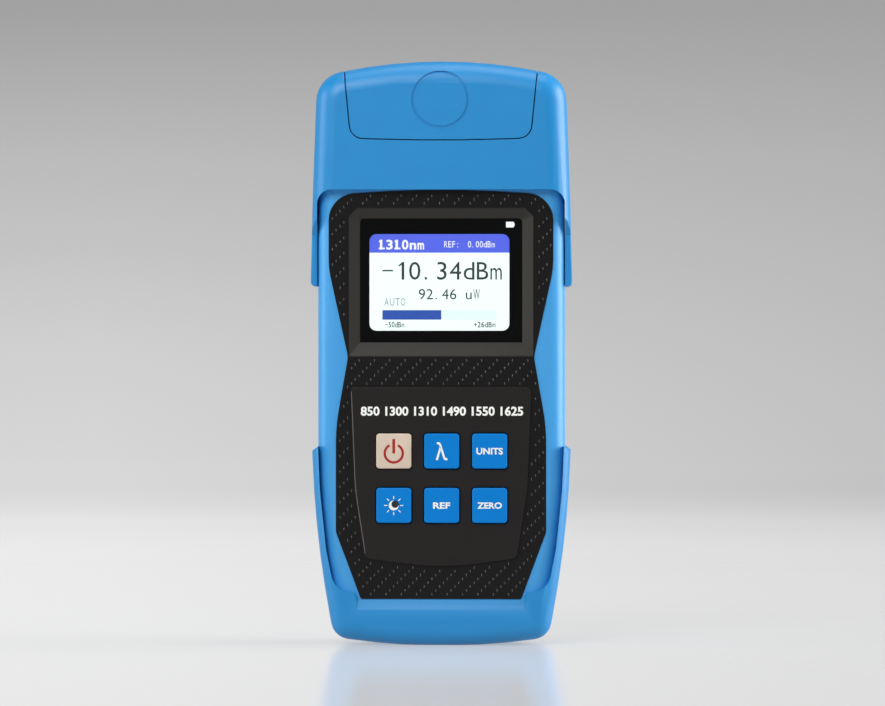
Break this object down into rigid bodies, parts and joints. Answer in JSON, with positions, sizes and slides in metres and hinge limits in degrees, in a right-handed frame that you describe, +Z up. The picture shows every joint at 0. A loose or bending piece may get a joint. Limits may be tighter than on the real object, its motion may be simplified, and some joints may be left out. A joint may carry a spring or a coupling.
{
  "type": "optical power meter",
  "caption": "Handheld optical power meter: black fascia with display and sprung keys in a blue case with end guards, hinged cover over the fibre port, battery door at the rear.",
  "frame": {"origin": "under the middle of the lower end that it stands on", "axes": "+Z up along the meter towards the fibre port, -Y out of the display, +X to the right as the display is read"},
  "size_m": [0.082, 0.038, 0.183],
  "materials": {
    "guard_blue": "fine matt moulded blue, slightly soft",
    "case_blue": "satin moulded blue",
    "panel_black": "black woven-look laminate",
    "plate_black": "smooth satin black",
    "window_glass": "clear acrylic window",
    "lcd": "display panel",
    "light_guide": "white light guide",
    "board_green": "solder-masked board",
    "key_blue": "satin blue key",
    "key_cream": "satin cream key",
    "switch_black": "switch body",
    "nickel": "nickel-plated turned metal",
    "steel": "plain steel",
    "ceramic": "white ceramic",
    "bay_black": "black moulded plate",
    "cell_wrap": "plain dark cell wrap"
  },
  "bodies": {
    "root": {"front_shell": "case_blue", "rear_shell": "case_blue", "upper_guard": "guard_blue", "lower_guard": "guard_blue", "front_panel": "panel_black", "keypad_plate": "plate_black", "display_window": "window_glass", "lcd_panel": "lcd", "backlight": "light_guide", "main_board": "board_green", "cover_pin": "steel", "port_plate": "bay_black", "optical_adapter": "nickel", "adapter_sleeve": "ceramic", "adapter_nut": "nickel", "detector": "nickel", "usb_socket": "steel", "battery_tray": "bay_black", "switch_power": "switch_black", "switch_wavelength": "switch_black", "switch_units": "switch_black", "switch_light": "switch_black", "switch_reference": "switch_black", "switch_zero": "switch_black", "cell_1": "cell_wrap", "cell_1_plus": "steel", "cell_1_minus": "steel", "cell_2": "cell_wrap", "cell_2_plus": "steel", "cell_2_minus": "steel", "cell_3": "cell_wrap", "cell_3_plus": "steel", "cell_3_minus": "steel"},
    "port_cover": {"port_cover": "guard_blue"},
    "battery_door": {"battery_door": "case_blue"},
    "key_power": {"key_power": "key_cream"},
    "key_wavelength": {"key_wavelength": "key_blue"},
    "key_units": {"key_units": "key_blue"},
    "key_light": {"key_light": "key_blue"},
    "key_reference": {"key_reference": "key_blue"},
    "key_zero": {"key_zero": "key_blue"}
  },
  "joints": [
    {"name": "cover_hinge", "type": "hinge", "parent": "root", "child": "port_cover", "pos_m": [0, 0.0134, 0.1748], "axis": [-1, 0, 0], "range_deg": [0, 110]},
    {"name": "door_tilt", "type": "hinge", "parent": "root", "child": "battery_door", "pos_m": [0, 0.0172, 0.03], "axis": [-1, 0, 0], "range_deg": [0, 35]},
    {"name": "press_power", "type": "slide", "parent": "root", "child": "key_power", "axis": [0, 1, 0], "range_m": [0, 0.0006], "stiffness_N_per_m": 900},
    {"name": "press_wavelength", "type": "slide", "parent": "root", "child": "key_wavelength", "axis": [0, 1, 0], "range_m": [0, 0.0006], "stiffness_N_per_m": 900},
    {"name": "press_units", "type": "slide", "parent": "root", "child": "key_units", "axis": [0, 1, 0], "range_m": [0, 0.0006], "stiffness_N_per_m": 900},
    {"name": "press_light", "type": "slide", "parent": "root", "child": "key_light", "axis": [0, 1, 0], "range_m": [0, 0.0006], "stiffness_N_per_m": 900},
    {"name": "press_reference", "type": "slide", "parent": "root", "child": "key_reference", "axis": [0, 1, 0], "range_m": [0, 0.0006], "stiffness_N_per_m": 900},
    {"name": "press_zero", "type": "slide", "parent": "root", "child": "key_zero", "axis": [0, 1, 0], "range_m": [0, 0.0006], "stiffness_N_per_m": 900}
  ]
}
